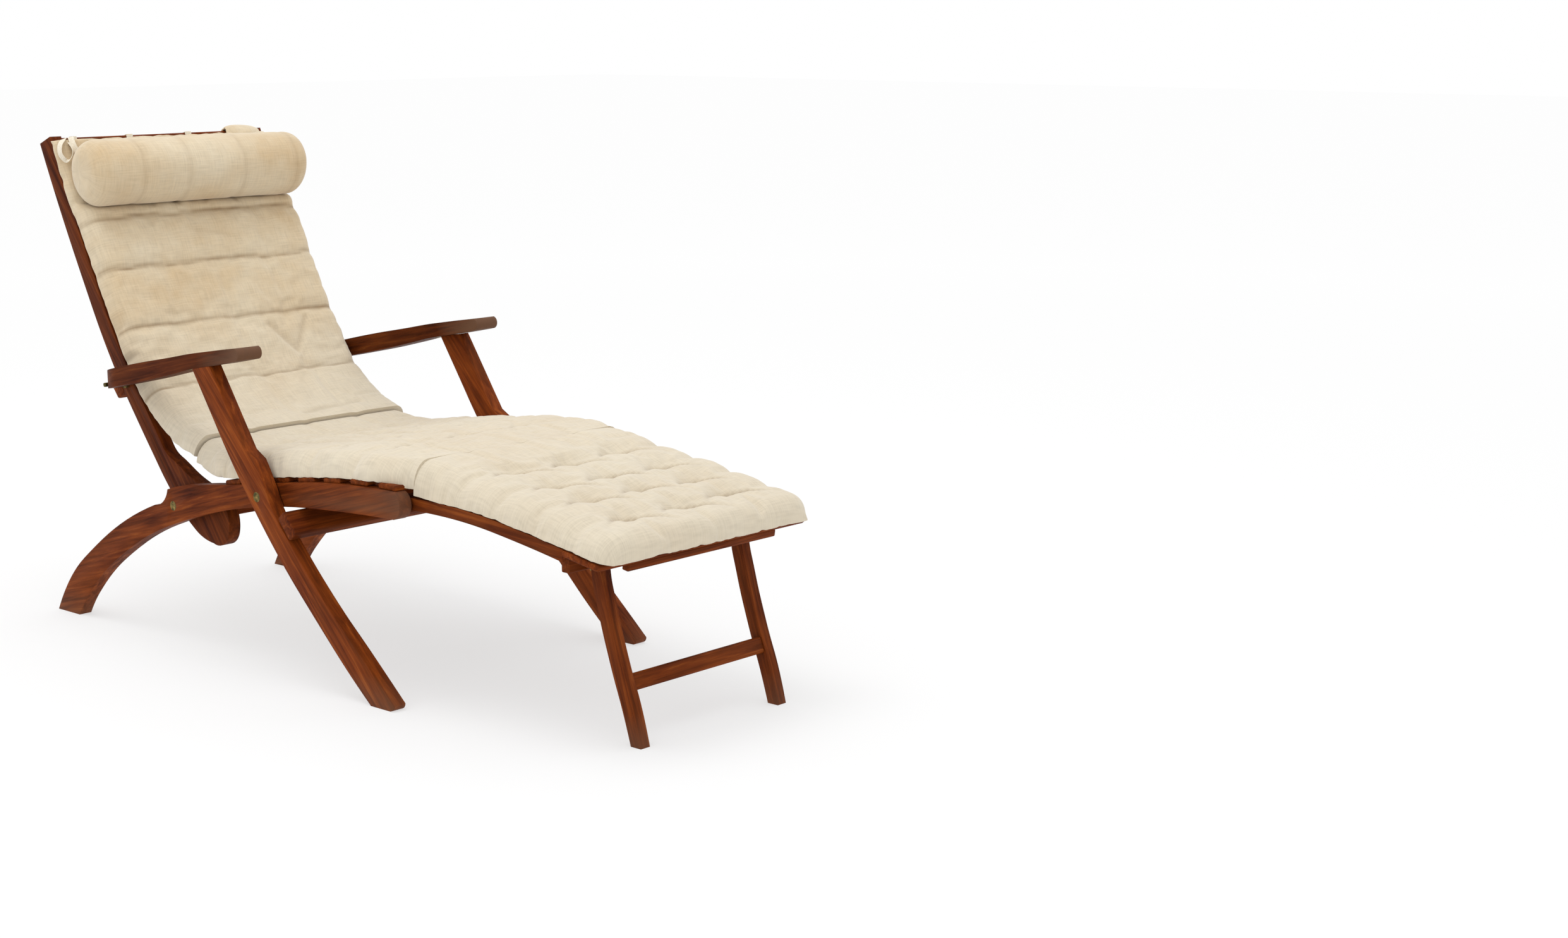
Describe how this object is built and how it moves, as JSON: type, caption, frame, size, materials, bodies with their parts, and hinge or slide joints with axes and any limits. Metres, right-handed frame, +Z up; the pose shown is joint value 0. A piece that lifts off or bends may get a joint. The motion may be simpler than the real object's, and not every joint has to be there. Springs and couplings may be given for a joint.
{
  "type": "steamer deck chair",
  "caption": "Folding deck chair with curved seat rails, crossing front legs, sloping arms, a sliding leg rest on its own folding legs and a quilted mattress with a head roll.",
  "frame": {"origin": "centre of the footprint on the floor, under the whole chair with its leg rest out", "axes": "+Z up, -Y towards the foot end, +Y towards the head end, X across with the sitter's left at +X"},
  "size_m": [0.606, 1.539, 0.9233],
  "materials": {
    "teak": "oiled, eased edges",
    "canvas": "natural cotton canvas",
    "cotton_tape": "woven tape",
    "brass": "dull, weathered"
  },
  "bodies": {
    "seat_frame": {"back_pivot_bolts": "brass", "back_pivot_washers": "brass", "left_seat_rail": "teak", "leg_pivot_washers": "brass", "rear_seat_crossbar": "teak", "right_seat_rail": "teak", "seat_pad": "canvas", "seat_slat_1": "teak", "seat_slat_2": "teak", "seat_slat_3": "teak", "seat_slat_4": "teak", "seat_slat_5": "teak", "seat_slat_6": "teak", "seat_slat_7": "teak"},
    "back": {"arm_pin_washers": "brass", "arm_pins": "brass", "back_crossbar": "teak", "back_lower_rail": "teak", "back_pad": "canvas", "back_slat_1": "teak", "back_slat_2": "teak", "back_slat_3": "teak", "back_slat_4": "teak", "back_slat_5": "teak", "back_top_rail": "teak", "head_roll": "canvas", "left_back_stile": "teak", "mattress_ties": "cotton_tape", "right_back_stile": "teak"},
    "front_legs": {"left_front_leg": "teak", "right_front_leg": "teak", "front_cross_rail": "teak", "arm_hinge_post_leaves": "brass", "arm_hinge_pins": "brass", "leg_pivot_bolts": "brass"},
    "left_armrest": {"left_arm": "teak", "left_arm_hinge_leaf": "brass"},
    "right_armrest": {"right_arm": "teak", "right_arm_hinge_leaf": "brass"},
    "leg_rest": {"foot_rail": "teak", "foot_slat": "teak", "left_rest_rail": "teak", "leg_pad": "canvas", "rear_rest_rail": "teak", "rest_apron": "teak", "rest_guide_pins": "brass", "rest_hinge_apron_leaves": "brass", "rest_hinge_pins": "brass", "rest_slat_1": "teak", "rest_slat_2": "teak", "rest_slat_3": "teak", "rest_slat_4": "teak", "rest_slat_5": "teak", "right_rest_rail": "teak"},
    "rest_legs": {"left_rest_leg": "teak", "right_rest_leg": "teak", "rest_stretcher": "teak", "rest_hinge_leg_leaves": "brass"}
  },
  "joints": [
    {"name": "back_fold", "type": "hinge", "parent": "seat_frame", "child": "back", "pos_m": [0, 0.345, 0.262], "axis": [1, 0, 0], "range_deg": [0, 100], "deforming": ["seat_pad", "back_pad", "head_roll"]},
    {"name": "front_leg_fold", "type": "hinge", "parent": "seat_frame", "child": "front_legs", "pos_m": [0, 0.05, 0.322], "axis": [1, 0, 0], "range_deg": [0, 100]},
    {"name": "left_arm_fold", "type": "hinge", "parent": "front_legs", "child": "left_armrest", "pos_m": [0.29, 0.224, 0.532], "axis": [1, 0, 0], "range_deg": [-100, 0]},
    {"name": "right_arm_fold", "type": "hinge", "parent": "front_legs", "child": "right_armrest", "pos_m": [-0.29, 0.224, 0.532], "axis": [1, 0, 0], "range_deg": [-100, 0]},
    {"name": "leg_rest_slide", "type": "slide", "parent": "seat_frame", "child": "leg_rest", "axis": [0, 0.9979, -0.0649], "range_m": [0, 0.36], "deforming": ["leg_pad"]},
    {"name": "rest_legs_fold", "type": "hinge", "parent": "leg_rest", "child": "rest_legs", "pos_m": [0, -0.655, 0.279], "axis": [1, 0, 0], "range_deg": [0, 95]}
  ],
  "couplings": [
    {"joint": "front_leg_fold", "follows": "back_fold", "ratio": 1},
    {"joint": "left_arm_fold", "follows": "back_fold", "ratio": -1},
    {"joint": "right_arm_fold", "follows": "back_fold", "ratio": -1}
  ]
}
